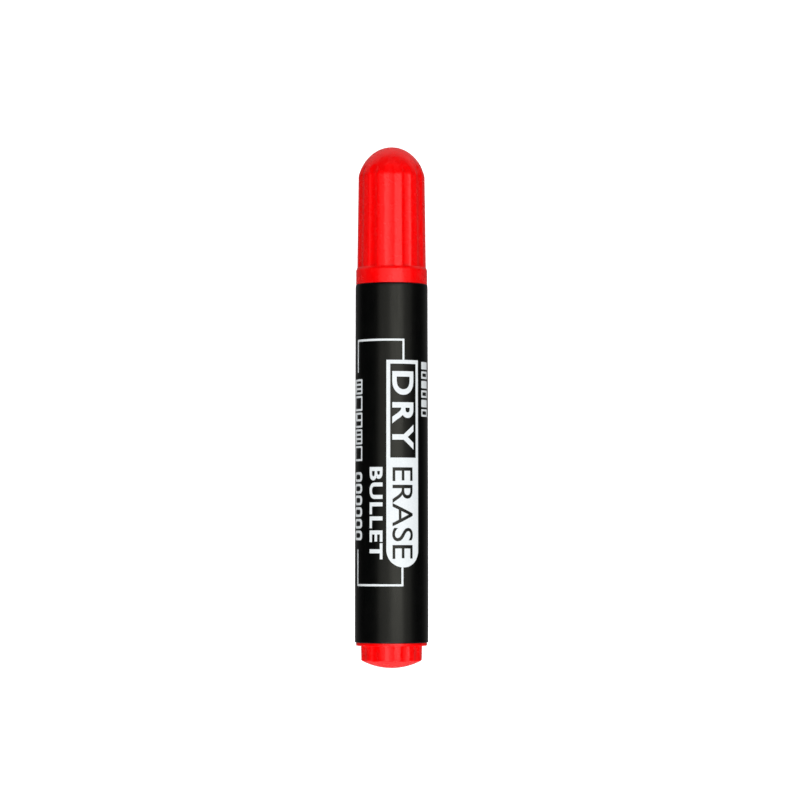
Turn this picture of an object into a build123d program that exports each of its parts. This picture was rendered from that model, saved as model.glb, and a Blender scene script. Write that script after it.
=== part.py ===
from build123d import *
import math
import os

# A capped whiteboard marker with a fibre ink reservoir, as the pieces it comes apart into.
# All sizes are in millimetres.
#
# Each piece is drawn upright: Z is the marker's axis, and a height is a distance from the tip of the tail
# plug towards the cap. The printed side faces -Y. lay_down() then turns the marker onto its side, with the
# cap towards +Y, the printed side up and the barrel resting on the plane Z = 0, midway along its length.

# ---- driving dimensions -------------------------------------------------------------------------------

LENGTH = 130.3                  # tail tip to cap tip, with the cap on
SEAM = 0.05                     # open gap at each end of the barrel, where the cap and the plug seat
SLIDE_GAP = 0.05                # radial gap wherever a piece slides along another
LEAD_IN = (0.3, 0.5)            # bevel at the mouth of a bore: radial, and along the axis
EDGE = 0.1                      # small bevel on a moulded outer edge
BITE = 0.3                      # how far a rib runs into the wall that it stands on

# barrel
BARREL_TAIL = 6.4               # height of the tail face
BARREL_FRONT = 95.65            # height of the front face
BARREL_R = 9.15                 # grip: a true cylinder from the tail to the start of the draft
BARREL_FRONT_R = 9.02
DRAFT_START = 30.0
FRONT_ROUND = (0.12, 0.9)       # soft front edge: radial drop, and length along the barrel
TAIL_ROUND = 0.18
BORE_R = 7.45
TAIL_BORE_R = 7.65              # counterbore that takes the plug
TAIL_BORE_DEPTH = 9.0
RIB_COUNT = 6                   # ribs inside the barrel that centre the reservoir
RIB_WIDTH = 0.8
RIB_INNER_R = 6.78
RIB_SETBACK = 1.0               # the ribs stop this far short of the reservoir's ends
SNAP_HEIGHTS = (-5.4, -2.4)     # snap rings of the nib holder, from the front face
SNAP_BAND = 0.5                 # half the length of a snap ring
SNAP_R = 7.5

# fibre reservoir
RESERVOIR_TAIL = 15.7
RESERVOIR_FRONT = 87.5
RESERVOIR_R = 6.6
FILM_WALL = 0.15

# nib holder: heights from the barrel's front face
SKIRT_DEPTH = 8.0
SKIRT_R = 7.42
SKIRT_BEVEL = (0.3, 0.7)        # where it enters the barrel: radial, and along the axis
FLANGE_R = 7.95
FLANGE_THICK = 0.8
NECK_R = 7.1
NECK_TOP = 10.0
NECK_BEVEL = (0.6, 0.8)
NECK_BEAD = 5.2                 # height of the ring that the cap clicks over
NECK_BEAD_R = 7.22
NECK_BEAD_BAND = 0.35           # half its length
SEAL_R = 5.2                    # the nose that the cap's liner seals on
SEAL_TOP = 15.0
CONE_R = (4.6, 3.1)
CONE_TOP = 21.0
GUIDE_R = 3.3                   # tube that guides the nib inside the neck
GUIDE_TAIL = 4.0
CORE_R = (4.2, 6.0)             # inner radii of the seal nose and of the neck
CORE_TOP = (13.0, 8.0)          # where the hollows of those radii end
WEB_COUNT = 4
WEB_WIDTH = 0.9
VENT_COUNT = 4                  # grooves that let air past the nib
VENT_R = 0.35

# nib: heights from the barrel's front face
NIB_R = 2.3
NIB_GAP = 0.02
NIB_TAIL = -11.4
NIB_TAIL_BEVEL = (0.5, 0.6)     # radial, and along the axis
NIB_SHOULDER = 23.2
NIB_TIP = 26.6
NIB_TIP_R = 1.2                 # the point ends in part of a sphere
NIB_TIP_ANGLE = 15              # degrees above the sphere's equator where the taper meets it

# cap: heights from the tail tip, like the barrel
COLLAR_R = 8.9
COLLAR_TOP = 99.2
BEVEL_TOP = 99.9
CAP_BODY_R = (8.62, 8.32)       # at the bevel and where the dome starts
DOME_HEIGHT = 7.3
DOME_RADIAL = 8.72              # the dome is the end of an ellipse
DOME_AXIAL = 10.4
DOME_WALL = 1.7                 # thicker than the sides, as the flutes run out in it
CAP_BORE_TOP = 10.7             # from the barrel's front face
CAP_CORE_R = 6.9
MOUTH_R = 8.05
MOUTH_DEPTH = 1.0
CLICK_R = 7.42                  # groove that takes the neck bead
CLICK_BAND = 0.75
CAP_RIB_COUNT = 6
CAP_RIB_WIDTH = 0.9
CAP_RIB_TOP = 23.0
STOP_COUNT = 3                  # ribs across the dome that hold the liner's closed end

# flutes: the cap and the plug carry the same ones, in line
FLUTE_COUNT = 12
FLUTE_R = 3.75                  # radius of each hollow, and its depth below the round body
FLUTE_DEPTH = 0.3
FLUTE_PHASE = -3.5              # degrees

# cap liner: heights from the barrel's front face
LINER_MOUTH = 10.4
LINER_TOP = 28.3
LINER_R = 6.05
LINER_TOP_R = 5.55
LINER_WALL = 0.8
LINER_FILLET = 0.5              # bevels that stand for its rounded edges
LINER_SEAL_TOP = 16.0
LINER_SEAL_R = SEAL_R + SLIDE_GAP

# tail plug
PLUG_FLANGE = 5.6               # underside of the flange
PLUG_FLANGE_R = 8.85
PLUG_BODY_R = (7.6, 7.66)       # at the dome and at the flange
PLUG_DOME_R = 15.8
PLUG_SKIRT_R = 7.5
PLUG_SKIRT_TOP = 15.6           # the fibre reservoir's end rests against the skirt's rim
PLUG_SKIRT_BEVEL = (0.4, 0.8)   # where it enters the barrel: radial, and along the axis
PLUG_WALL = 1.1
PLUG_BEADS = (9.0, 12.0)        # heights of the seal rings on the skirt
PLUG_BEAD_BAND = 0.4            # half the length of a seal ring

# ---- values worked out from them ----------------------------------------------------------------------

CAP_MOUTH = BARREL_FRONT + SEAM
CAP_BODY_TOP = LENGTH - DOME_HEIGHT
CAP_BORE_R = NECK_BEAD_R + SLIDE_GAP
DOME_CENTRE = LENGTH - DOME_AXIAL
PLUG_RIM = PLUG_DOME_R - math.sqrt(PLUG_DOME_R**2 - PLUG_BODY_R[0] ** 2)
PLUG_FLANGE_TOP = BARREL_TAIL - SEAM
FULL_HEIGHT = (Align.CENTER, Align.CENTER, Align.MIN)


# ---- helpers ------------------------------------------------------------------------------------------

def turned(*lines):
    """Spin a closed outline, drawn as (radius, height), about the marker's axis."""
    return revolve(Plane.XZ * make_face(Curve() + list(lines)), Axis.Z)


def turned_polygon(points):
    """Spin a straight-sided outline given as (radius, height) corners."""
    return turned(Polyline(*points, close=True))


def round_about(count, piece, phase=0.0):
    """Copies of a piece, spread evenly about the axis."""
    return [Rot(0, 0, phase + 360.0 * k / count) * piece for k in range(count)]


def ring_band(radius, height, half_length, root):
    """Corners of a low ring on a wall, from the wall's own radius out to the ring's and back."""
    slope = abs(radius - root)
    return [
        (root, height - half_length - slope),
        (radius, height - half_length),
        (radius, height + half_length),
        (root, height + half_length + slope),
    ]


def radial_rib(inner_r, outer_r, width, low, high):
    """A flat rib that stands on a wall and points at the axis."""
    rib = Box(outer_r - inner_r, width, high - low, align=(Align.MIN, Align.CENTER, Align.MIN))
    return Pos(inner_r, 0, low) * rib


def flutes(low_point, high_point):
    """Cutters for the shallow hollows along a tapered body, given two (radius, height) points on it."""
    reach = FLUTE_R - FLUTE_DEPTH
    start = Vector(low_point[0] + reach, 0, low_point[1])
    end = Vector(high_point[0] + reach, 0, high_point[1])
    cutter = Cylinder(FLUTE_R, (end - start).length, align=FULL_HEIGHT)
    return round_about(FLUTE_COUNT, Plane(start, z_dir=end - start) * cutter, FLUTE_PHASE)


def along_taper(low_point, high_point, height):
    """The (radius, height) point at a height on the straight line through two such points."""
    share = (height - low_point[1]) / (high_point[1] - low_point[1])
    return (low_point[0] + share * (high_point[0] - low_point[0]), height)


def lay_down(piece):
    """Turn the upright marker onto its side, centred along Y, with its barrel resting on Z = 0."""
    return Pos(0, -LENGTH / 2, BARREL_R) * Rot(-90, 0, 0) * piece


# ---- pieces -------------------------------------------------------------------------------------------

def barrel():
    """Moulded tube with soft outer edges, snap grooves at the front and a counterbore at the tail."""
    drop, run = FRONT_ROUND
    front_edge = (BARREL_FRONT_R - drop, BARREL_FRONT)
    round_start = (BARREL_FRONT_R, BARREL_FRONT - run)
    round_mid = (BARREL_FRONT_R - 0.22 * drop, BARREL_FRONT - 0.45 * run)
    outside = Polyline(
        (BARREL_R - TAIL_ROUND, BARREL_TAIL),
        (BARREL_R - 0.3 * TAIL_ROUND, BARREL_TAIL + 0.3 * TAIL_ROUND),
        (BARREL_R, BARREL_TAIL + TAIL_ROUND),
        (BARREL_R, DRAFT_START),
        round_start,
    )
    front_round = ThreePointArc(round_start, round_mid, front_edge)
    snap_grooves = []
    for height in reversed(SNAP_HEIGHTS):
        snap_grooves += reversed(ring_band(SNAP_R + SEAM, BARREL_FRONT + height, SNAP_BAND, BORE_R))
    inside = Polyline(
        front_edge,
        (BORE_R + LEAD_IN[0], BARREL_FRONT),
        (BORE_R, BARREL_FRONT - LEAD_IN[1]),
        *snap_grooves,
        (BORE_R, BARREL_TAIL + TAIL_BORE_DEPTH + LEAD_IN[0]),
        (TAIL_BORE_R, BARREL_TAIL + TAIL_BORE_DEPTH),
        (TAIL_BORE_R, BARREL_TAIL + LEAD_IN[1]),
        (TAIL_BORE_R + LEAD_IN[0], BARREL_TAIL),
        (BARREL_R - TAIL_ROUND, BARREL_TAIL),
    )
    rib = radial_rib(
        RIB_INNER_R, BORE_R + BITE, RIB_WIDTH, RESERVOIR_TAIL + RIB_SETBACK, RESERVOIR_FRONT - RIB_SETBACK
    )
    return turned(outside, front_round, inside) + round_about(RIB_COUNT, rib)


def nib_holder():
    """Front section: a snap-in skirt, the neck under the cap, the seal nose and the cone round the nib."""
    snap_rings = []
    for height in SNAP_HEIGHTS:
        snap_rings += ring_band(SNAP_R, height, SNAP_BAND, SKIRT_R)
    outline = [
        (CORE_R[1], -SKIRT_DEPTH),
        (SKIRT_R - SKIRT_BEVEL[0], -SKIRT_DEPTH),
        (SKIRT_R, -SKIRT_DEPTH + SKIRT_BEVEL[1]),
        *snap_rings,
        (SKIRT_R, 0),
        (FLANGE_R, 0),
        (FLANGE_R, FLANGE_THICK),
        (NECK_R, FLANGE_THICK),
        *ring_band(NECK_BEAD_R, NECK_BEAD, NECK_BEAD_BAND, NECK_R),
        (NECK_R, NECK_TOP - NECK_BEVEL[1]),
        (NECK_R - NECK_BEVEL[0], NECK_TOP),
        (SEAL_R, NECK_TOP),
        (SEAL_R, SEAL_TOP - LEAD_IN[1]),
        (SEAL_R - LEAD_IN[0], SEAL_TOP),
        (CONE_R[0], SEAL_TOP),
        (CONE_R[1] + EDGE, CONE_TOP - 2 * EDGE),
        (CONE_R[1] - EDGE, CONE_TOP),
        (NIB_R + NIB_GAP, CONE_TOP),
        (NIB_R + NIB_GAP, GUIDE_TAIL),
        (GUIDE_R, GUIDE_TAIL),
        (GUIDE_R, CORE_TOP[0]),
        (CORE_R[0], CORE_TOP[0]),
        (CORE_R[0], CORE_TOP[1]),
        (CORE_R[1], CORE_TOP[1]),
    ]
    web = radial_rib(GUIDE_R - BITE, CORE_R[1] + BITE, WEB_WIDTH, GUIDE_TAIL, CORE_TOP[1] + BITE)
    vent = Pos(NIB_R, 0, GUIDE_TAIL) * Cylinder(VENT_R, CONE_TOP - GUIDE_TAIL, align=FULL_HEIGHT)
    holder = turned_polygon(outline) + round_about(WEB_COUNT, web)
    return Pos(0, 0, BARREL_FRONT) * (holder - round_about(VENT_COUNT, vent, 45))


def nib_outline():
    """Half outline of the bullet nib: a rod with a tapered, round-ended point."""
    point = CenterArc((0, NIB_TIP - NIB_TIP_R), NIB_TIP_R, NIB_TIP_ANGLE, 90 - NIB_TIP_ANGLE)
    sides = Polyline(
        (0, NIB_TAIL),
        (NIB_R - NIB_TAIL_BEVEL[0], NIB_TAIL),
        (NIB_R, NIB_TAIL + NIB_TAIL_BEVEL[1]),
        (NIB_R, NIB_SHOULDER),
        point @ 0,
    )
    return sides, point, Line((0, NIB_TIP), (0, NIB_TAIL))


def nib():
    """Fibre rod with a bullet point: it runs from the writing tip back into the reservoir."""
    return Pos(0, 0, BARREL_FRONT) * turned(*nib_outline())


def ink_reservoir():
    """Ink-soaked fibre rod, with the socket that the nib's tail is pushed into."""
    rod = Cylinder(RESERVOIR_R, RESERVOIR_FRONT - RESERVOIR_TAIL, align=FULL_HEIGHT)
    return Pos(0, 0, RESERVOIR_TAIL) * rod - nib()


def reservoir_film():
    """Thin plastic wrap round the fibre rod."""
    outer_r = RESERVOIR_R + FILM_WALL
    return turned_polygon([
        (RESERVOIR_R, RESERVOIR_TAIL),
        (outer_r, RESERVOIR_TAIL),
        (outer_r, RESERVOIR_FRONT),
        (RESERVOIR_R, RESERVOIR_FRONT),
    ])


def dome(wall):
    """Outline of the cap's dome, drawn in from its outer surface by a wall, from its foot to its tip."""
    radial = DOME_RADIAL - wall
    axial = DOME_AXIAL - wall
    foot_angle = math.degrees(math.asin((DOME_AXIAL - DOME_HEIGHT) / DOME_AXIAL))
    return EllipticalCenterArc((0, DOME_CENTRE), radial, axial, foot_angle, arc_size=90 - foot_angle)


def cap_shell():
    """Fluted cap with a collar at its mouth, a click groove, and ribs inside that hold the liner."""
    outer_dome = dome(0)
    outer = turned(
        Polyline(
            (0, CAP_MOUTH),
            (COLLAR_R - EDGE, CAP_MOUTH),
            (COLLAR_R, CAP_MOUTH + EDGE),
            (COLLAR_R, COLLAR_TOP),
            (CAP_BODY_R[0], BEVEL_TOP),
            outer_dome @ 0,
        ),
        outer_dome,
        Line((0, LENGTH), (0, CAP_MOUTH)),
    )
    body_low = (CAP_BODY_R[0], BEVEL_TOP)
    body_high = (CAP_BODY_R[1], CAP_BODY_TOP)
    outer -= flutes(body_low, along_taper(body_low, body_high, LENGTH))

    core_dome = dome(DOME_WALL)
    core_top = (core_dome @ 1).Y
    rib_low = BARREL_FRONT + CAP_BORE_TOP + LEAD_IN[0]
    core = turned(
        Polyline(
            (0, BARREL_FRONT),
            (MOUTH_R, BARREL_FRONT),
            (MOUTH_R, CAP_MOUTH + MOUTH_DEPTH),
            (CAP_BORE_R + EDGE, CAP_MOUTH + MOUTH_DEPTH),
            (CAP_BORE_R, CAP_MOUTH + MOUTH_DEPTH + LEAD_IN[1]),
            *ring_band(CLICK_R, BARREL_FRONT + NECK_BEAD, CLICK_BAND, CAP_BORE_R),
            (CAP_BORE_R, BARREL_FRONT + CAP_BORE_TOP),
            (CAP_CORE_R, rib_low),
            core_dome @ 0,
        ),
        core_dome,
        Line((0, core_top), (0, BARREL_FRONT)),
    )
    rib = radial_rib(LINER_R, CAP_CORE_R + 2 * BITE, CAP_RIB_WIDTH, rib_low, BARREL_FRONT + CAP_RIB_TOP)
    stop = radial_rib(0, CAP_CORE_R + BITE, CAP_RIB_WIDTH, BARREL_FRONT + LINER_TOP, core_top + BITE)
    stops = Part() + round_about(STOP_COUNT, stop, 180 / CAP_RIB_COUNT)
    return outer - core + round_about(CAP_RIB_COUNT, rib) + (stops & outer)


def cap_liner():
    """Soft inner cup that closes over the seal nose and keeps the nib from drying out."""
    inner_top = LINER_TOP - LINER_WALL
    inner_top_r = LINER_TOP_R - LINER_WALL
    outline = [
        (LINER_SEAL_R + LEAD_IN[0], LINER_MOUTH),
        (LINER_R - EDGE, LINER_MOUTH),
        (LINER_R, LINER_MOUTH + EDGE),
        (LINER_R, CAP_RIB_TOP),
        (LINER_TOP_R, LINER_TOP - LINER_FILLET),
        (LINER_TOP_R - LINER_FILLET, LINER_TOP),
        (0, LINER_TOP),
        (0, inner_top),
        (inner_top_r - LINER_FILLET, inner_top),
        (inner_top_r, inner_top - LINER_FILLET),
        (LINER_R - LINER_WALL - EDGE, LINER_SEAL_TOP + LINER_FILLET),
        (LINER_SEAL_R, LINER_SEAL_TOP),
        (LINER_SEAL_R, LINER_MOUTH + LEAD_IN[1]),
    ]
    return Pos(0, 0, BARREL_FRONT) * turned_polygon(outline)


def end_plug():
    """Tail plug: a fluted button with a domed end, a flange, and a hollow skirt with two seal rings."""
    rim = (PLUG_BODY_R[0], PLUG_RIM)
    flange_foot = (PLUG_BODY_R[1], PLUG_FLANGE)
    half_r = PLUG_BODY_R[0] / 2
    half_height = PLUG_DOME_R - math.sqrt(PLUG_DOME_R**2 - half_r**2)
    button = turned(
        ThreePointArc((0, 0), (half_r, half_height), rim),
        Polyline(rim, flange_foot, (0, PLUG_FLANGE), (0, 0)),
    )
    button -= flutes(along_taper(rim, flange_foot, -1), flange_foot)

    seal_rings = []
    for height in PLUG_BEADS:
        seal_rings += ring_band(TAIL_BORE_R - SLIDE_GAP, height, PLUG_BEAD_BAND, PLUG_SKIRT_R)
    flange_and_skirt = turned_polygon([
        (0, PLUG_FLANGE),
        (PLUG_FLANGE_R - EDGE, PLUG_FLANGE),
        (PLUG_FLANGE_R, PLUG_FLANGE + EDGE),
        (PLUG_FLANGE_R, PLUG_FLANGE_TOP),
        (PLUG_SKIRT_R, PLUG_FLANGE_TOP),
        *seal_rings,
        (PLUG_SKIRT_R, PLUG_SKIRT_TOP - PLUG_SKIRT_BEVEL[1]),
        (PLUG_SKIRT_R - PLUG_SKIRT_BEVEL[0], PLUG_SKIRT_TOP),
        (0, PLUG_SKIRT_TOP),
    ])
    core_r = PLUG_SKIRT_R - PLUG_WALL
    core_rim = PLUG_WALL + PLUG_RIM
    core = turned(
        ThreePointArc((0, PLUG_WALL), (half_r, PLUG_WALL + half_height), (core_r, core_rim)),
        Polyline((core_r, core_rim), (core_r, LENGTH), (0, LENGTH), (0, PLUG_WALL)),
    )
    return button + flange_and_skirt - core


PIECES = {
    "barrel": barrel,
    "nib_holder": nib_holder,
    "nib": nib,
    "ink_reservoir": ink_reservoir,
    "reservoir_film": reservoir_film,
    "end_plug": end_plug,
    "cap_shell": cap_shell,
    "cap_liner": cap_liner,
}

os.makedirs("parts", exist_ok=True)
for name, make in PIECES.items():
    export_step(lay_down(make()), f"parts/{name}.step")
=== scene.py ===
import math

import bmesh
import bpy
from mathutils import Matrix, Vector, noise


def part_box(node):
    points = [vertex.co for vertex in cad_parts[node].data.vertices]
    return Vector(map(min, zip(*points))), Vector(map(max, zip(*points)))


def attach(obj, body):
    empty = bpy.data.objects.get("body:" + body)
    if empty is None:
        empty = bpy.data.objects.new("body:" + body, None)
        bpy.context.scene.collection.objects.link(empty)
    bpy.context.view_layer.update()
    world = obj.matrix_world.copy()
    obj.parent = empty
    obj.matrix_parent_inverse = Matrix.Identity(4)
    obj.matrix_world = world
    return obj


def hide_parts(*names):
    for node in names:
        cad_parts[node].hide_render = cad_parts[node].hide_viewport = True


# A whiteboard marker lying on its side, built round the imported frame.
#
# Profiles are written in millimetres as (radius, height): the radius is measured from the marker's axis,
# and the height runs along it from the tip of the tail plug towards the cap. An angle of 0 points up, out
# of the printed side, and grows towards +X.

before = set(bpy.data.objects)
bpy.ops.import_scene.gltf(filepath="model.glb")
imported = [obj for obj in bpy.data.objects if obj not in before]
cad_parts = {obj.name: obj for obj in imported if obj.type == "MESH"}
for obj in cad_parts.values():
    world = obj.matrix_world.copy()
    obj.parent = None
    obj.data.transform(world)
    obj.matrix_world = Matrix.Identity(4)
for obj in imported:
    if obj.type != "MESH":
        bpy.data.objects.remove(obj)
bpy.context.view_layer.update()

MM = 0.001
SEED_SHIFT = 7.3                # keeps one noise pattern apart from the next


# ---- places read from the frame -----------------------------------------------------------------------

barrel_low, barrel_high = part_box("barrel")
cap_low, cap_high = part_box("cap_shell")
plug_low, plug_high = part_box("end_plug")
holder_low, holder_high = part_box("nib_holder")
nib_low, nib_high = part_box("nib")
liner_low, liner_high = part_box("cap_liner")
reservoir_low, reservoir_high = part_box("ink_reservoir")
film_low, film_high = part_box("reservoir_film")

AXIS_Z = (barrel_low.z + barrel_high.z) / 2
TAIL_Y = plug_low.y


def height_of(y):
    """Distance from the tail tip, in millimetres, of a place along the marker."""
    return (y - TAIL_Y) / MM


def radius_of(low, high):
    """Radius, in millimetres, of a round piece with this box."""
    return (high.x - low.x) / 2 / MM


LENGTH = height_of(cap_high.y)
BARREL_TAIL = height_of(barrel_low.y)
BARREL_FRONT = height_of(barrel_high.y)
BARREL_R = radius_of(barrel_low, barrel_high)
CAP_MOUTH = height_of(cap_low.y)
COLLAR_R = radius_of(cap_low, cap_high)
PLUG_FLANGE_R = radius_of(plug_low, plug_high)
PLUG_TOP = height_of(plug_high.y)
HOLDER_FLANGE_R = radius_of(holder_low, holder_high)
NIB_R = radius_of(nib_low, nib_high)
NIB_TAIL = height_of(nib_low.y)
NIB_TIP = height_of(nib_high.y)
LINER_R = radius_of(liner_low, liner_high)
LINER_MOUTH = height_of(liner_low.y)
LINER_TOP = height_of(liner_high.y)
RESERVOIR_TAIL = height_of(reservoir_low.y)
RESERVOIR_FRONT = height_of(reservoir_high.y)


# ---- sizes that the frame's boxes don't give ----------------------------------------------------------

FLUTE_COUNT = 12
FLUTE_R = 3.75
FLUTE_DEPTH = 0.3
FLUTE_PHASE = -3.5              # degrees
LAND_ROUND = 0.035              # softness of the edges between flutes and lands
FOOT_ROUND = 0.12               # softness of the edge round the dome's foot
COLLAR_TOP = 99.2
BEVEL_TOP = 99.9
CAP_BODY_R = (8.62, 8.32)
CAP_BODY_TOP = LENGTH - 7.3
FLUTE_END = LENGTH - 5.0        # where the cap's flutes leave the dome
DOME_RADIAL = 8.72
DOME_AXIAL = 10.4
DOME_WALL = 1.7
PLUG_FLANGE = 5.6
PLUG_BODY_R = (7.6, 7.66)
PLUG_DOME_R = 15.8
DRAFT_START = 30.0
BARREL_FRONT_R = 9.02
FRONT_ROUND = 0.9               # length of the barrel's soft front edge
BORE_R = 7.45
TAIL_BORE_R = 7.65
CAP_BORE_R = 7.27
SEAM = 0.05                     # open gap at each end of the barrel
BARREL_RIBS = 6
CAP_RIBS = 6
COLUMNS = 480                   # steps round a fluted piece
PLAIN_COLUMNS = 240             # steps round any other piece


# ---- mesh helpers -------------------------------------------------------------------------------------

def outline(*corners):
    """Points of a line through (radius, height) corners; a third number rounds that corner by a radius."""
    points = []
    for i, corner in enumerate(corners):
        here = Vector(corner[:2])
        if len(corner) < 3:
            points.append(tuple(here))
            continue
        back = (Vector(corners[i - 1][:2]) - here).normalized()
        ahead = (Vector(corners[i + 1][:2]) - here).normalized()
        half_turn = back.angle(ahead) / 2
        reach = corner[2] / math.tan(half_turn)
        centre = here + (back + ahead).normalized() * corner[2] / math.sin(half_turn)
        start = here + back * reach - centre
        sweep = start.angle_signed(here + ahead * reach - centre)
        steps = max(3, round(abs(math.degrees(sweep)) / 14))
        for k in range(steps + 1):
            turn = -sweep * k / steps
            points.append((
                centre.x + start.x * math.cos(turn) - start.y * math.sin(turn),
                centre.y + start.x * math.sin(turn) + start.y * math.cos(turn),
            ))
    return points


def line_rows(start, end, count):
    """Evenly spaced points after start, up to and with end."""
    return [
        tuple(a + (b - a) * k / count for a, b in zip(start, end))
        for k in range(1, count + 1)
    ]


def place(radius, angle, height):
    """The point in the frame at a radius, an angle (in radians) and a height."""
    return (
        radius * MM * math.sin(angle),
        TAIL_Y + height * MM,
        AXIS_Z + radius * MM * math.cos(angle),
    )


def finish_mesh(name, mesh_data, body, node, mat, sharp=32):
    """Turn a bmesh into a smooth-shaded piece that rides on a body and stands for a CAD node."""
    bmesh.ops.recalc_face_normals(mesh_data, faces=mesh_data.faces)
    mesh = bpy.data.meshes.new(name)
    mesh_data.to_mesh(mesh)
    mesh_data.free()
    mesh.shade_smooth()
    mesh.set_sharp_from_angle(angle=math.radians(sharp))
    mesh.materials.append(mat)
    piece = bpy.data.objects.new(name, mesh)
    bpy.context.scene.collection.objects.link(piece)
    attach(piece, body)
    if node:
        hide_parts(node)
    return piece


def spin(rows, columns=PLAIN_COLUMNS, radius_at=None):
    """Spin an outline about the axis. It closes on itself unless it starts and ends on the axis.

    radius_at(row, angle) may change a row's radius as it goes round.
    """
    mesh_data = bmesh.new()
    angles = [2 * math.pi * k / columns for k in range(columns)]
    rings = []
    for i, (radius, height) in enumerate(rows):
        if radius < 1e-6:
            rings.append([mesh_data.verts.new(place(0, 0, height))])
            continue
        rings.append([
            mesh_data.verts.new(place(radius_at(i, a) if radius_at else radius, a, height))
            for a in angles
        ])
    on_axis = len(rings[0]) == 1
    for i in range(len(rings) - 1 if on_axis else len(rings)):
        low, high = rings[i], rings[(i + 1) % len(rings)]
        for k in range(columns):
            n = (k + 1) % columns
            corners = [low[k % len(low)], low[n % len(low)], high[n % len(high)], high[k % len(high)]]
            unique = []
            for v in corners:
                if v not in unique:
                    unique.append(v)
            mesh_data.faces.new(unique)
    return mesh_data


def add_rib(mesh_data, angle, inner_r, outer_r, width, low, high):
    """Add a flat rib that points at the axis, as a closed box."""
    side = Vector((math.cos(angle), 0, -math.sin(angle))) * width / 2 * MM
    corners = []
    for height in (low, high):
        for radius, sign in ((inner_r, -1), (outer_r, -1), (outer_r, 1), (inner_r, 1)):
            corners.append(mesh_data.verts.new(Vector(place(radius, angle, height)) + side * sign))
    for face in ((0, 1, 2, 3), (4, 5, 6, 7), (0, 1, 5, 4), (1, 2, 6, 5), (2, 3, 7, 6), (3, 0, 4, 7)):
        mesh_data.faces.new([corners[k] for k in face])


def smooth_least(a, b, softness):
    """The lesser of two lengths, with the crease where they meet rounded off."""
    gap = max(softness - abs(a - b), 0) / softness
    return min(a, b) - gap * gap * softness / 4


def flute_wall(angle, base_r):
    """Radius of the nearest flute's hollow at an angle, or None between flutes."""
    period = 2 * math.pi / FLUTE_COUNT
    off = (angle - math.radians(FLUTE_PHASE) + period / 2) % period - period / 2
    centre = base_r + FLUTE_R - FLUTE_DEPTH
    inside = FLUTE_R**2 - (centre * math.sin(off)) ** 2
    if inside <= 0:
        return None
    return centre * math.cos(off) - math.sqrt(inside)


def fluted(rows, fluted_rows, base_at):
    """A radius_at for spin: rows in fluted_rows are cut by the flutes, whose taper is base_at(height)."""
    def radius_at(i, angle):
        radius, height = rows[i]
        if i not in fluted_rows:
            return radius
        wall = flute_wall(angle, base_at(height))
        if wall is None:
            return radius
        return smooth_least(radius, wall, LAND_ROUND)
    return radius_at


# ---- materials ----------------------------------------------------------------------------------------

class Finish:
    """A material under construction: adds nodes and links them to its Principled shader."""

    def __init__(self, name, **sockets):
        self.material = bpy.data.materials.new(name)
        self.material.use_nodes = True
        self.nodes = self.material.node_tree.nodes
        self.links = self.material.node_tree.links
        self.shader = self.nodes["Principled BSDF"]
        for socket, value in sockets.items():
            self.shader.inputs[socket.replace("_", " ")].default_value = value
        self.place = self.add("ShaderNodeTexCoord").outputs["Object"]

    def add(self, kind, settings=(), **sockets):
        node = self.nodes.new(kind)
        for name, value in dict(settings).items():
            setattr(node, name, value)
        for socket, value in sockets.items():
            self.feed(node.inputs[socket.replace("_", " ")], value)
        return node

    def feed(self, socket, value):
        if isinstance(value, bpy.types.NodeSocket):
            self.links.new(value, socket)
        else:
            socket.default_value = value

    def grain(self, size, detail=3.0, stretch=1.0, shift=0.0, roughness=0.5):
        """Noise with features of a size in millimetres, drawn out along the marker by stretch."""
        scaled = self.add(
            "ShaderNodeMapping", Vector=self.place,
            Location=(shift, shift, shift), Scale=(1.0, 1.0 / stretch, 1.0),
        )
        noise = self.add(
            "ShaderNodeTexNoise", Vector=scaled.outputs["Vector"],
            Scale=1.0 / (size * MM), Detail=detail, Roughness=roughness,
        )
        return noise.outputs["Fac"]

    def spread(self, value, low, high, start=0.3, end=0.7):
        """Map a value from start..end to low..high."""
        ranged = self.add(
            "ShaderNodeMapRange", Value=value, From_Min=start, From_Max=end, To_Min=low, To_Max=high
        )
        return ranged.outputs["Result"]

    def mix(self, value, first, second):
        """Blend two colours by a value."""
        mixed = self.add("ShaderNodeMix", {"data_type": "RGBA"})
        self.feed(mixed.inputs[0], value)
        for socket, colour in ((mixed.inputs[6], first), (mixed.inputs[7], second)):
            self.feed(socket, colour if isinstance(colour, bpy.types.NodeSocket) else (*colour, 1.0))
        return mixed.outputs[2]

    def colour(self, value):
        self.feed(self.shader.inputs["Base Color"], value)

    def roughness(self, value):
        self.feed(self.shader.inputs["Roughness"], value)

    def bumps(self, *layers):
        """Stack bump layers, each (height value, depth in millimetres)."""
        normal = None
        for value, depth in layers:
            bump = self.add("ShaderNodeBump", Strength=1.0, Distance=depth * MM, Height=value)
            if normal:
                self.feed(bump.inputs["Normal"], normal)
            normal = bump.outputs["Normal"]
        self.feed(self.shader.inputs["Normal"], normal)


def red_plastic():
    """Glossy red moulding: deep even pigment, faint flow marks and a slight orange peel."""
    f = Finish(
        "red_plastic", IOR=1.46, Specular_IOR_Level=0.38, Subsurface_Weight=0.4, Subsurface_Scale=2.5 * MM
    )
    f.shader.inputs["Subsurface Radius"].default_value = (1.0, 0.05, 0.04)
    flow = f.grain(5.0, stretch=3.0)
    f.colour(f.mix(f.spread(flow, 0.0, 1.0), (0.95, 0.0004, 0.0010), (0.90, 0.0003, 0.0008)))
    handled = f.grain(2.2, detail=5.0, shift=SEED_SHIFT)
    f.roughness(f.spread(handled, 0.22, 0.30))
    f.bumps((f.grain(1.6, detail=1.0, shift=2 * SEED_SHIFT), 0.006), (f.grain(0.25), 0.0012))
    return f.material


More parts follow.
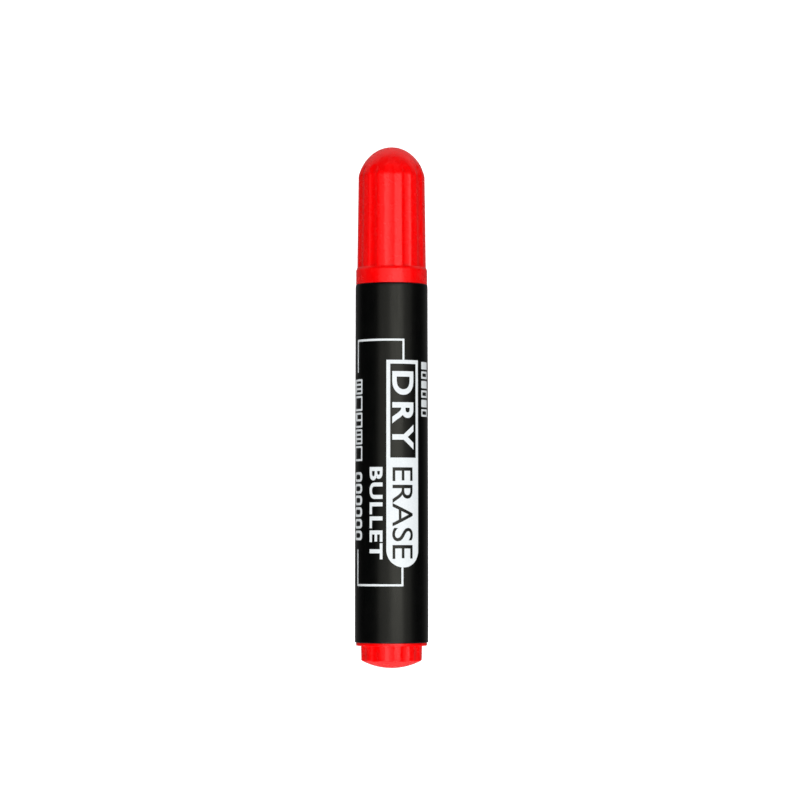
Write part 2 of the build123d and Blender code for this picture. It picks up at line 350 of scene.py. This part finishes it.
def black_plastic():
    """Satin black moulding: fine spark-eroded grain, and hairlines from handling along the barrel."""
    f = Finish("black_plastic", IOR=1.46, Specular_IOR_Level=0.42, Specular_Tint=(1.0, 1.0, 0.88, 1.0))
    tone = f.grain(3.0, shift=SEED_SHIFT)
    f.colour(f.mix(f.spread(tone, 0.0, 1.0), (0.0011, 0.0012, 0.0013), (0.0019, 0.0019, 0.0019)))
    rub = f.grain(0.5, detail=4.0, stretch=14.0, shift=2 * SEED_SHIFT)
    f.roughness(f.spread(rub, 0.27, 0.34))
    f.bumps((f.grain(0.16, detail=2.0), 0.0022), (f.grain(0.3, detail=2.0, stretch=30.0), 0.0012))
    return f.material


def print_white():
    """Screen-printed white ink: slightly uneven coverage and a dry, toothy surface."""
    f = Finish("print_white", IOR=1.45, Specular_IOR_Level=0.3)
    cover = f.grain(0.35, detail=4.0)
    f.colour(f.mix(f.spread(cover, 0.0, 1.0), (0.66, 0.70, 0.72), (0.74, 0.77, 0.78)))
    f.roughness(f.spread(f.grain(0.8, shift=SEED_SHIFT), 0.42, 0.55))
    f.bumps((f.grain(0.12, detail=2.0), 0.003))
    return f.material


def white_plastic():
    """Natural white moulding of the nib holder, with a faint satin bloom."""
    f = Finish("white_plastic", IOR=1.48, Subsurface_Weight=0.25, Subsurface_Scale=0.8 * MM)
    f.shader.inputs["Subsurface Radius"].default_value = (1.0, 0.9, 0.75)
    f.colour(f.mix(f.spread(f.grain(4.0), 0.0, 1.0), (0.74, 0.74, 0.71), (0.66, 0.66, 0.63)))
    f.roughness(f.spread(f.grain(1.5, detail=5.0, shift=SEED_SHIFT), 0.3, 0.42))
    f.bumps((f.grain(0.3), 0.002))
    return f.material


def liner_plastic():
    """Soft, milky inner cup of the cap."""
    f = Finish("liner_plastic", IOR=1.49, Subsurface_Weight=0.5, Subsurface_Scale=1.0 * MM)
    f.shader.inputs["Subsurface Radius"].default_value = (1.0, 0.85, 0.7)
    f.colour(f.mix(f.spread(f.grain(3.0), 0.0, 1.0), (0.74, 0.72, 0.66), (0.66, 0.65, 0.6)))
    f.roughness(f.spread(f.grain(1.2, detail=4.0, shift=SEED_SHIFT), 0.38, 0.5))
    f.bumps((f.grain(0.4), 0.003))
    return f.material


def nib_fibre():
    """Pressed fibres that run along the nib, soaked in red ink."""
    f = Finish("nib_fibre", IOR=1.4)
    strands = f.grain(0.14, detail=4.0, stretch=22.0, roughness=0.65)
    f.colour(f.mix(f.spread(strands, 0.0, 1.0), (0.22, 0.004, 0.008), (0.55, 0.012, 0.02)))
    f.roughness(f.spread(strands, 0.55, 0.8))
    f.bumps((strands, 0.03), (f.grain(0.08, detail=3.0, shift=SEED_SHIFT), 0.008))
    return f.material


def reservoir_fibre():
    """Bonded fibre rod, coarser than the nib, wet with red ink."""
    f = Finish("reservoir_fibre", IOR=1.38)
    strands = f.grain(0.3, detail=4.0, stretch=12.0, roughness=0.65)
    f.colour(f.mix(f.spread(strands, 0.0, 1.0), (0.34, 0.01, 0.016), (0.68, 0.045, 0.05)))
    f.roughness(f.spread(strands, 0.6, 0.85))
    f.bumps((strands, 0.05))
    return f.material


def clear_film():
    """Thin clear wrap with shallow crinkles."""
    f = Finish("clear_film", IOR=1.5, Alpha=0.35)
    f.colour(f.mix(f.spread(f.grain(4.0), 0.0, 1.0), (0.80, 0.80, 0.82), (0.70, 0.72, 0.76)))
    f.roughness(f.spread(f.grain(1.5, shift=SEED_SHIFT), 0.12, 0.25))
    f.bumps((f.grain(1.2, detail=3.0, stretch=3.0), 0.05))
    return f.material


def studio_floor():
    """White paper of a shooting table, which the camera sees a little overexposed."""
    f = Finish("studio_floor", Specular_IOR_Level=0.0, Emission_Color=(1, 1, 1, 1))
    ray = f.add("ShaderNodeLightPath")
    glow = f.add("ShaderNodeMath", {"operation": "MULTIPLY"})
    f.feed(glow.inputs[0], ray.outputs["Is Camera Ray"])
    f.feed(glow.inputs[1], FLOOR_GLOW)
    f.feed(f.shader.inputs["Emission Strength"], glow.outputs[0])
    f.colour(f.mix(f.spread(f.grain(40.0), 0.0, 1.0), (0.68, 0.68, 0.68), (0.7, 0.7, 0.7)))
    f.roughness(f.spread(f.grain(5.0), 0.85, 0.95))
    return f.material


RED = red_plastic()
BLACK = black_plastic()
WHITE_INK = print_white()


# ---- pieces -------------------------------------------------------------------------------------------

def make_barrel():
    """Barrel tube with soft outer edges, the plug's wider bore at its tail, and the centring ribs."""
    lead_in, lead_in_depth = 0.3, 0.5
    plug_bore_top = BARREL_TAIL + 9.0
    rib_inner_r, rib_outer_r, rib_width = 6.78, BORE_R + 0.2, 0.8
    rows = outline(
        (TAIL_BORE_R + lead_in, BARREL_TAIL),
        (BARREL_R, BARREL_TAIL, 0.18),
        (BARREL_R, DRAFT_START),
        (BARREL_FRONT_R, BARREL_FRONT - FRONT_ROUND),
        (BARREL_FRONT_R - 0.03, BARREL_FRONT - 0.4),
        (BARREL_FRONT_R - 0.08, BARREL_FRONT, 0.15),
        (BORE_R + lead_in, BARREL_FRONT),
        (BORE_R, BARREL_FRONT - lead_in_depth),
        (BORE_R, plug_bore_top + 0.3),
        (TAIL_BORE_R, plug_bore_top),
        (TAIL_BORE_R, BARREL_TAIL + lead_in_depth),
    )
    mesh_data = spin(rows)
    for k in range(BARREL_RIBS):
        angle = math.radians(30 + 360 / BARREL_RIBS * k)
        add_rib(
            mesh_data, angle, rib_inner_r, rib_outer_r, rib_width, RESERVOIR_TAIL + 1, RESERVOIR_FRONT - 1
        )
    return finish_mesh("barrel_tube", mesh_data, "marker", "barrel", BLACK)


def cap_radius(height):
    """Outer radius of the cap between its flutes: a straight taper that runs softly into the dome."""
    share = (height - BEVEL_TOP) / (CAP_BODY_TOP - BEVEL_TOP)
    taper = CAP_BODY_R[0] + share * (CAP_BODY_R[1] - CAP_BODY_R[0])
    rise = max(height - LENGTH + DOME_AXIAL, 0) / DOME_AXIAL
    dome = DOME_RADIAL * math.sqrt(max(1 - rise * rise, 0.0))
    return smooth_least(taper, dome, FOOT_ROUND)


def cap_flute_base(height):
    """Radius that the cap's flutes are cut below. On the dome they run out."""
    share = max(height - CAP_BODY_TOP, 0) / (FLUTE_END - CAP_BODY_TOP)
    return cap_radius(height) + FLUTE_DEPTH * share**4


def dome_rows(wall, count):
    """Rows of the cap's dome from its foot to its tip, drawn in from the outside by a wall."""
    foot = math.asin((DOME_AXIAL - (LENGTH - CAP_BODY_TOP)) / DOME_AXIAL)
    rows = []
    for k in range(count + 1):
        angle = foot + (math.pi / 2 - foot) * k / count
        radius = (DOME_RADIAL - wall) * math.cos(angle)
        rows.append((radius, LENGTH - DOME_AXIAL + (DOME_AXIAL - wall) * math.sin(angle)))
    rows[-1] = (0.0, rows[-1][1])
    return rows


def make_cap():
    """Fluted cap: collar, bevel, flutes that run out in the dome, and the hollow behind the mouth."""
    bore, click = CAP_BORE_R, CAP_BORE_R + 0.15
    mouth_r = 8.05
    rib_outer_r, rib_width = 7.2, 0.9
    liner_foot, liner_top = BARREL_FRONT + 11.0, BARREL_FRONT + 23.0
    outer = outline(
        (mouth_r, CAP_MOUTH),
        (COLLAR_R, CAP_MOUTH, 0.12),
        (COLLAR_R, COLLAR_TOP, 0.15),
        (CAP_BODY_R[0] + 0.04, BEVEL_TOP - 0.04),
        (CAP_BODY_R[0], BEVEL_TOP),
    )
    first_fluted = len(outer)
    foot, *dome = dome_rows(0, 60)
    body_low, body_high = BEVEL_TOP + 0.03, foot[1] - 0.8
    heights = [body_low + (body_high - body_low) * k / 24 for k in range(25)]
    heights += [body_high + (foot[1] - body_high) * k / 8 for k in range(1, 9)]
    heights += [height for _, height in dome[:-1]]
    outer += [(cap_radius(height), height) for height in heights]
    outer += dome[-1:]
    inner = dome_rows(DOME_WALL, 14)[::-1]
    inner += outline(
        (6.9, liner_foot),
        (bore, BARREL_FRONT + 10.7),
        (bore, BARREL_FRONT + 6.1),
        (click, BARREL_FRONT + 5.95),
        (click, BARREL_FRONT + 4.45),
        (bore, BARREL_FRONT + 4.3),
        (bore, CAP_MOUTH + 1.5),
        (bore + 0.1, CAP_MOUTH + 1.0),
        (mouth_r, CAP_MOUTH + 1.0),
    )
    rows = list(reversed(outer)) + list(reversed(inner))
    last = len(outer) - 1
    fluted_rows = [i for i in range(last - first_fluted + 1) if rows[i][1] < FLUTE_END]
    mesh_data = spin(rows, COLUMNS, fluted(rows, fluted_rows, cap_flute_base))
    for k in range(CAP_RIBS):
        angle = math.radians(90 + 360 / CAP_RIBS * k)
        add_rib(mesh_data, angle, LINER_R + 0.02, rib_outer_r, rib_width, liner_foot, liner_top)
    return finish_mesh("cap_moulding", mesh_data, "cap", "cap_shell", RED)


def make_plug():
    """Tail plug: domed and fluted button, flange, and the hollow skirt with its two seal rings."""
    skirt, core, wall = 7.5, 6.4, 1.1
    ring_r = TAIL_BORE_R - 0.05
    rim = PLUG_DOME_R - math.sqrt(PLUG_DOME_R**2 - PLUG_BODY_R[0] ** 2)
    steps = 60
    sphere = [
        (r, PLUG_DOME_R - math.sqrt(PLUG_DOME_R**2 - r * r))
        for r in (PLUG_BODY_R[0] * k / steps for k in range(steps))
    ]
    edge = outline(sphere[-2], (PLUG_BODY_R[0], rim, 0.12), (PLUG_BODY_R[1], PLUG_FLANGE - 0.02))
    rows = sphere[:-1] + edge[1:]
    fluted_rows = range(len(rows))
    rings = []
    for height in (9.0, 12.0):
        rings += [
            (skirt, height - 0.5), (ring_r, height - 0.4), (ring_r, height + 0.4), (skirt, height + 0.5)
        ]
    rows += outline(
        (PLUG_BODY_R[1], PLUG_FLANGE),
        (PLUG_FLANGE_R, PLUG_FLANGE, 0.12),
        (PLUG_FLANGE_R, BARREL_TAIL - SEAM, 0.06),
        (skirt, BARREL_TAIL - SEAM),
        *rings,
        (skirt, PLUG_TOP - 0.8),
        (skirt - 0.4, PLUG_TOP, 0.15),
        (core, PLUG_TOP),
        (core, wall + rim),
    )
    rows += [(r, h + wall) for r, h in sphere[-10::-6]] + [(0.0, wall)]

    def base_at(height):
        share = (height - rim) / (PLUG_FLANGE - rim)
        return PLUG_BODY_R[0] + share * (PLUG_BODY_R[1] - PLUG_BODY_R[0])

    mesh_data = spin(rows, COLUMNS, fluted(rows, fluted_rows, base_at))
    return finish_mesh("plug_moulding", mesh_data, "tail_plug", "end_plug", RED)


def make_holder():
    """Nib holder: skirt with snap rings, flange, neck with its click ring, seal nose and cone.

    Its heights are counted from the barrel's front face.
    """
    skirt, snap, neck, click, seal = 7.42, 7.5, 7.1, 7.22, 5.2
    groove_r = 0.35
    nib_bore = NIB_R + 0.02
    guide_tail, cone_top = 4.0, 21.0
    snap_rings = []
    for height in (-5.4, -2.4):
        snap_rings += [
            (skirt, height - 0.58), (snap, height - 0.5), (snap, height + 0.5), (skirt, height + 0.58)
        ]
    rows = outline(
        (6.0, -8.0),
        (skirt - 0.3, -8.0),
        (skirt, -7.3),
        *snap_rings,
        (skirt, 0.0),
        (HOLDER_FLANGE_R, 0.0, 0.08),
        (HOLDER_FLANGE_R, 0.8, 0.12),
        (neck, 0.8, 0.12),
        (neck, 4.73, 0.1),
        (click, 4.85, 0.1),
        (click, 5.55, 0.1),
        (neck, 5.67, 0.1),
        (neck, 9.2, 0.3),
        (neck - 0.6, 10.0, 0.2),
        (seal, 10.0, 0.25),
        (seal, 14.5, 0.12),
        (seal - 0.3, 15.0, 0.1),
        (4.6, 15.0, 0.1),
        (3.2, 20.8, 0.15),
        (3.0, cone_top, 0.08),
        (nib_bore, cone_top),
        (nib_bore, guide_tail),
        (3.3, guide_tail),
        (3.3, 13.0),
        (4.2, 13.0),
        (4.2, 8.0),
        (6.0, 8.0),
    )

    def radius_at(i, angle):
        """The bore has four grooves that let air past the nib."""
        radius = rows[i][0]
        if abs(radius - nib_bore) > 1e-4:
            return radius
        off = (angle + math.pi / 4) % (math.pi / 2) - math.pi / 4
        around = radius * off
        return radius + math.sqrt(max(groove_r**2 - around * around, 0.0))

    rows = [(radius, BARREL_FRONT + height) for radius, height in rows]
    mesh_data = spin(rows, PLAIN_COLUMNS, radius_at)
    for k in range(4):
        add_rib(mesh_data, math.pi / 2 * k, 3.2, 6.1, 0.9, BARREL_FRONT + 4, BARREL_FRONT + 8.1)
    return finish_mesh(
        "nib_holder_moulding", mesh_data, "marker", "nib_holder", white_plastic()
    )


def make_nib():
    """Bullet nib of pressed fibres: real furrows run along it, and its point is slightly worn."""
    point_r, shoulder = 1.2, NIB_TIP - 3.4
    rows = outline((0.0, NIB_TAIL), (NIB_R - 0.5, NIB_TAIL), (NIB_R, NIB_TAIL + 0.6))
    rows += line_rows(rows[-1], (NIB_R, shoulder - 0.5), 12)
    rows += outline(rows[-1], (NIB_R, shoulder, 1.5), (1.16, NIB_TIP - 0.89))[1:-1]
    point = [math.radians(15 + 75 * k / 16) for k in range(17)]
    cone_foot = (point_r * math.cos(point[0]), NIB_TIP - point_r + point_r * math.sin(point[0]))
    rows += line_rows(rows[-1], cone_foot, 14)
    rows += [(point_r * math.cos(a), NIB_TIP - point_r + point_r * math.sin(a)) for a in point[1:-1]]
    rows.append((0.0, NIB_TIP))

    def radius_at(i, angle):
        radius, height = rows[i]
        furrow = noise.noise(Vector((math.cos(angle) * 16, math.sin(angle) * 16, height * 0.25)))
        tuft = noise.noise(Vector((math.cos(angle) * 40, math.sin(angle) * 40, height * 1.5)))
        return radius - 0.02 * min(radius, 1.0) * (1 + furrow) / 2 - 0.008 * abs(tuft)

    return finish_mesh("nib_rod", spin(rows, PLAIN_COLUMNS, radius_at), "marker", "nib",
                       nib_fibre(), sharp=60)


def make_liner():
    """Inner cup of the cap, with a lead-in at its mouth and a rounded closed end."""
    wall, seal_bore, top_r = 0.8, 5.25, 5.55
    seal_top = BARREL_FRONT + 16.0
    rows = outline(
        (0.0, LINER_TOP),
        (top_r, LINER_TOP, 0.5),
        (LINER_R, BARREL_FRONT + 23.0, 1.0),
        (LINER_R, LINER_MOUTH, 0.15),
        (seal_bore + 0.35, LINER_MOUTH, 0.1),
        (seal_bore, LINER_MOUTH + 0.5, 0.1),
        (seal_bore, seal_top),
        (LINER_R - wall - 0.1, seal_top + 0.5),
        (top_r - wall, LINER_TOP - wall, 0.4),
        (0.0, LINER_TOP - wall),
    )
    return finish_mesh("liner_cup", spin(rows), "cap", "cap_liner", liner_plastic())


def paint(node, mat):
    """Give a CAD node that is shown as it is its finished material."""
    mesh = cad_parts[node].data
    mesh.materials.clear()
    mesh.materials.append(mat)


# ---- print on the barrel ------------------------------------------------------------------------------
#
# The artwork is drawn flat, in millimetres: across is the distance round the barrel from the top of the
# printed side, towards +X, and up is the distance from the barrel's tail face. It is then cut into narrow
# strips, wrapped round the barrel and given the thickness of a coat of ink. Words read from the cap
# towards the tail.

INK = 0.02                      # thickness of the coat, in millimetres
STRIP = 0.35                    # width of the strips that the flat artwork is cut into
LINE = 0.52                     # width of the thin lines


def across(degrees):
    """Distance round the barrel for an angle."""
    return math.radians(degrees) * BARREL_R


def barrel_radius(height):
    """Outer radius of the barrel at a height."""
    share = max(height - DRAFT_START, 0) / (BARREL_FRONT - FRONT_ROUND - DRAFT_START)
    return BARREL_R + share * (BARREL_FRONT_R - BARREL_R)


def rectangle(left, right, low, high, corner=0.0):
    """A loop of (across, up) points, with rounded corners if asked."""
    if corner <= 0:
        return [(left, low), (right, low), (right, high), (left, high)]
    loop = []
    for cx, cy, start in (
        (right - corner, low + corner, -90), (right - corner, high - corner, 0),
        (left + corner, high - corner, 90), (left + corner, low + corner, 180),
    ):
        for k in range(9):
            a = math.radians(start + 90 * k / 8)
            loop.append((cx + corner * math.cos(a), cy + corner * math.sin(a)))
    return loop


def flat_shape(*loops):
    """Flat mesh of the area inside the loops; a loop inside another one is a hole."""
    curve = bpy.data.curves.new("artwork", "CURVE")
    curve.dimensions = "2D"
    curve.fill_mode = "BOTH"
    for loop in loops:
        spline = curve.splines.new("POLY")
        spline.points.add(len(loop) - 1)
        for point, (x, y) in zip(spline.points, loop):
            point.co = (x, y, 0, 1)
        spline.use_cyclic_u = True
    return flat_mesh(curve)


def flat_word(text, left, right, high, low, weight=0.0, spacing=1.0):
    """Flat mesh of a word that reads downwards, stretched to fill a box."""
    curve = bpy.data.curves.new("artwork", "FONT")
    curve.body = text
    curve.offset = weight
    curve.space_character = spacing
    curve.resolution_u = 6
    mesh_data = flat_mesh(curve)
    xs = [v.co.x for v in mesh_data.verts]
    ys = [v.co.y for v in mesh_data.verts]
    for v in mesh_data.verts:
        along = (v.co.x - min(xs)) / (max(xs) - min(xs))
        rise = (v.co.y - min(ys)) / (max(ys) - min(ys))
        v.co = (left + rise * (right - left), high - along * (high - low), 0)
    return mesh_data


def flat_mesh(curve):
    """The filled faces of a 2-D curve or text, as a bmesh."""
    holder = bpy.data.objects.new("artwork", curve)
    mesh = bpy.data.meshes.new_from_object(holder)
    bpy.data.objects.remove(holder)
    mesh_data = bmesh.new()
    mesh_data.from_mesh(mesh)
    bpy.data.meshes.remove(mesh)
    bmesh.ops.remove_doubles(mesh_data, verts=mesh_data.verts, dist=1e-4)
    return mesh_data


def print_on_barrel(name, mesh_data, mat, layer=0):
    """Wrap flat artwork round the barrel as a thin coat of ink that rides on it.

    It is cut where the barrel's taper starts too, so that it follows the bend.
    """
    xs = [v.co.x for v in mesh_data.verts]
    strips = range(math.floor(min(xs) / STRIP) + 1, math.ceil(max(xs) / STRIP))
    cuts = [((k * STRIP, 0, 0), (1, 0, 0)) for k in strips]
    taper_start = (0, DRAFT_START - BARREL_TAIL, 0)
    cuts.append((taper_start, (0, 1, 0)))
    for point, normal in cuts:
        geometry = list(mesh_data.verts) + list(mesh_data.edges) + list(mesh_data.faces)
        bmesh.ops.bisect_plane(mesh_data, geom=geometry, plane_co=point, plane_no=normal)
    under = {}
    for v in list(mesh_data.verts):
        flat = v.co.copy()
        height = BARREL_TAIL + flat.y
        angle, radius = flat.x / BARREL_R, barrel_radius(height)
        v.co = place(radius + INK * (1 + layer), angle, height)
        under[v] = mesh_data.verts.new(place(radius - INK, angle, height))
    edges = [e for e in mesh_data.edges if e.is_boundary]
    for face in list(mesh_data.faces):
        mesh_data.faces.new([under[v] for v in reversed(face.verts)])
    for e in edges:
        a, b = e.verts
        mesh_data.faces.new([a, b, under[b], under[a]])
    return finish_mesh(name, mesh_data, "marker", None, mat)


def make_print():
    """White artwork: a thin frame round a two-part panel, three plain words and some plain marks."""
    left, right = across(-66), across(19)
    top, bottom = 75.0, 14.3
    panel_left, panel_right, panel_top, panel_foot = across(-8), across(46), 70.0, 18.7
    window_left, window_right = across(-2), across(41)
    window_top, window_foot = 69.05, 45.8
    half = LINE / 2
    foot_step = 0.3

    lines = {
        "print_line_top": rectangle(left - half, right + half, top - half, top + half),
        "print_line_right": rectangle(right - half, right + half, panel_top, top - half),
        "print_line_left_top": rectangle(left - half, left + half, 67.1, top - half),
        "print_line_left_foot": rectangle(left - half, left + half, bottom + half, 23.1),
        "print_line_foot": rectangle(left - half, right + half - foot_step, bottom - half, bottom + half),
        "print_line_stub": rectangle(
            right - half - foot_step, right + half - foot_step, bottom + half, panel_foot
        ),
    }
    for name, loop in lines.items():
        print_on_barrel(name, flat_shape(loop), WHITE_INK)

    end_r = (panel_right - panel_left) / 2
    middle = (panel_left + panel_right) / 2
    panel = [(panel_left, panel_top)]
    steps = 32
    for k in range(steps + 1):
        a = math.pi + math.pi * k / steps
        panel.append((middle + end_r * math.cos(a), panel_foot + end_r + end_r * math.sin(a)))
    panel.append((panel_right, panel_top))
    window = rectangle(window_left, window_right, window_foot, window_top)
    print_on_barrel("print_panel", flat_shape(panel, window), WHITE_INK)

    window_word = flat_word("DRY", across(1.2), across(36.5), 67.2, 47.8, 0.03, 1.3)
    print_on_barrel("print_word_window", window_word, WHITE_INK)
    panel_word = flat_word("ERASE", across(1.2), across(35), 43.4, 20.8)
    print_on_barrel("print_word_panel", panel_word, BLACK, layer=1)
    side_word = flat_word("BULLET", across(-36.5), across(-14), 43.5, 20.7, 0.03, 1.12)
    print_on_barrel("print_word_side", side_word, WHITE_INK)

    print_blocks()


def block(left, right, low, high, kind):
    """Loops of a plain outlined block: with two bars across it (kind 0), empty (1) or with one bar (2)."""
    line = 0.5
    loops = [rectangle(left, right, low, high, 0.3)]
    if kind == 1:
        loops.append(rectangle(left + line, right - line, low + line, high - line))
    else:
        bars = 3 if kind == 0 else 2
        step = (high - low - line) / bars
        for k in range(bars):
            foot = low + line + step * k
            inset = line if kind == 0 else 2 * line * (k % 2)
            loops.append(rectangle(left + inset + line, right - line, foot, foot + step - line))
    return loops


def print_blocks():
    """Plain stand-ins for small print: blocks and rings at the left edge, small squares at the right."""
    column = (across(-79), across(-53))
    block_top, block_pitch, block_size = 65.4, 4.15, 3.75
    for k in range(5):
        high = block_top - block_pitch * k
        loops = block(*column, high - block_size, high, k % 3)
        print_on_barrel(f"print_block_{k}", flat_shape(*loops), WHITE_INK)
    ring_top, ring_pitch, ring_size = 42.3, 2.9, 2.4
    ring_side, ring_end = 0.8, 0.6
    for k in range(6):
        high = ring_top - ring_pitch * k
        outside = rectangle(*column, high - ring_size, high, 0.9)
        hole = rectangle(
            column[0] + ring_side, column[1] - ring_side, high - ring_size + ring_end, high - ring_end, 0.5
        )
        print_on_barrel(f"print_ring_{k}", flat_shape(outside, hole), WHITE_INK)
    edge = (across(54.5), across(74))
    mark_top, mark_pitch, mark_size, mark_line = 69.7, 2.35, 1.85, 0.5
    for k in range(6):
        high = mark_top - mark_pitch * k
        loops = [rectangle(*edge, high - mark_size, high, 0.2)]
        if k % 2:
            loops.append(rectangle(
                edge[0] + mark_line, edge[1] - mark_line,
                high - mark_size + mark_line, high - mark_line, 0.1,
            ))
        print_on_barrel(f"print_mark_{k}", flat_shape(*loops), WHITE_INK)


# ---- studio -------------------------------------------------------------------------------------------

FLOOR_GLOW = 0.8                # how far the camera sees the floor overexposed
TENT = 0.03                     # light from all round
BACKDROP = 0.95                 # what the camera sees past the floor's edge
SIDE_GLOW = 0.17                # what the lowest reflections see at the sides
END_GLOW = (0.7, 0.2)           # what they see past the ends: near the horizon, and straight down


def make_floor():
    """Wide sheet of pale paper under the marker. It is too matt to show in the marker's reflections."""
    mesh_data = bmesh.new()
    bmesh.ops.create_grid(mesh_data, x_segments=8, y_segments=8, size=4.0)
    mesh = bpy.data.meshes.new("floor")
    mesh_data.to_mesh(mesh)
    mesh_data.free()
    mesh.materials.append(studio_floor())
    floor = bpy.data.objects.new("floor", mesh)
    floor.visible_glossy = False
    bpy.context.scene.collection.objects.link(floor)


def softbox(name, lean, tilt, distance, size, radiance, glossy=True):
    """Area light aimed at the marker, tipped from overhead: lean towards +X and tilt towards +Y."""
    light = bpy.data.lights.new(name, "AREA")
    light.shape = "RECTANGLE"
    light.size, light.size_y = size
    light.energy = radiance * math.pi * size[0] * size[1]
    lamp = bpy.data.objects.new(name, light)
    lamp.visible_glossy = glossy
    bpy.context.scene.collection.objects.link(lamp)
    toward = Vector((math.tan(math.radians(lean)), math.tan(math.radians(tilt)), 1)).normalized()
    lamp.location = Vector((0, 0, AXIS_Z)) + toward * distance
    lamp.rotation_mode = "QUATERNION"
    lamp.rotation_quaternion = (-toward).to_track_quat("-Z", "Y")


def make_lights():
    """Softboxes: the key a little to the right, a weaker one on each side of it, and one over the tail.

    The fill and the cap's own light brighten the plastic but don't show in its reflections.
    """
    softbox("key", 16, 0, 1.3, (0.75, 0.9), 2.1)
    softbox("left", -22, 0, 1.3, (0.75, 0.9), 0.76)
    softbox("right", 46, 0, 1.3, (1.2, 0.9), 0.5)
    softbox("fill", -8, 0, 1.3, (1.7, 0.9), 1.0, glossy=False)
    softbox("cap_end", 0, 70, 1.3, (1.2, 1.2), 2.0, glossy=False)
    softbox("tail_end", 0, -52, 1.3, (1.2, 0.8), 6.0)


def make_world():
    """White tent round the set. Reflections see dark surroundings, pale only towards the table."""
    world = bpy.data.worlds.new("studio")
    world.use_nodes = True
    world.cycles.sampling_method = "NONE"
    bpy.context.scene.world = world
    nodes, links = world.node_tree.nodes, world.node_tree.links

    def maths(operation, first, second):
        node = nodes.new("ShaderNodeMath")
        node.operation = operation
        for socket, value in zip(node.inputs, (first, second)):
            if isinstance(value, bpy.types.NodeSocket):
                links.new(value, socket)
            else:
                socket.default_value = value
        return node.outputs[0]

    def ranged(value, low_in, high_in, low, high):
        node = nodes.new("ShaderNodeMapRange")
        links.new(value, node.inputs["Value"])
        numbers = {"From Min": low_in, "From Max": high_in, "To Min": low, "To Max": high}
        for socket, number in numbers.items():
            node.inputs[socket].default_value = number
        return node.outputs["Result"]

    def grey_or(choice, first, grey):
        """The first colour, or a grey on the rays that choice picks."""
        node = nodes.new("ShaderNodeMix")
        node.data_type = "RGBA"
        links.new(choice, node.inputs[0])
        for socket, value in ((node.inputs[6], first), (node.inputs[7], grey)):
            if isinstance(value, bpy.types.NodeSocket):
                links.new(value, socket)
            else:
                socket.default_value = (value, value, value, 1)
        return node.outputs[2]

    ray = nodes.new("ShaderNodeLightPath")
    direction = nodes.new("ShaderNodeSeparateXYZ")
    links.new(nodes.new("ShaderNodeTexCoord").outputs["Generated"], direction.inputs[0])
    y, z = direction.outputs["Y"], direction.outputs["Z"]
    endwise = maths("DIVIDE", maths("MULTIPLY", y, y), maths("SUBTRACT", 1.0, maths("MULTIPLY", z, z)))
    sideways = ranged(endwise, 0.1, 0.6, 1.0, 0.0)
    side_glow = maths("MULTIPLY", ranged(z, -0.35, -0.9, 0.0, SIDE_GLOW), sideways)
    table = maths("MULTIPLY", ranged(z, 0.05, -0.2, 0.0, 1.0), ranged(z, -0.3, -0.95, *END_GLOW))
    end_glow = maths("MULTIPLY", table, ranged(endwise, 0.1, 0.6, 0.0, 1.0))
    glow = maths("ADD", side_glow, end_glow)
    seen = grey_or(ray.outputs["Is Glossy Ray"], TENT, glow)
    seen = grey_or(ray.outputs["Is Camera Ray"], seen, BACKDROP)
    links.new(seen, nodes["Background"].inputs["Color"])


def make_camera():
    """Long lens straight above the marker, level with its tail half and tipped a little towards the cap."""
    side_shift = 2.1 * MM
    aim = Vector((side_shift, TAIL_Y + 66.85 * MM, AXIS_Z))
    data = bpy.data.cameras.new("camera")
    data.sensor_width = 36
    data.lens = 140.5
    camera = bpy.data.objects.new("camera", data)
    bpy.context.scene.collection.objects.link(camera)
    camera.location = (side_shift, TAIL_Y + 30.75 * MM, AXIS_Z + 0.78)
    camera.rotation_mode = "QUATERNION"
    back = (camera.location - aim).normalized()
    right = Vector((1, 0, 0))
    up = back.cross(right)
    camera.rotation_quaternion = Matrix((right, up, back)).transposed().to_quaternion()
    bpy.context.scene.camera = camera


make_barrel()
make_cap()
make_plug()
make_holder()
make_nib()
make_liner()
paint("ink_reservoir", reservoir_fibre())
paint("reservoir_film", clear_film())
make_print()

make_floor()
make_lights()
make_world()
make_camera()
bpy.context.scene.view_settings.view_transform = "Standard"
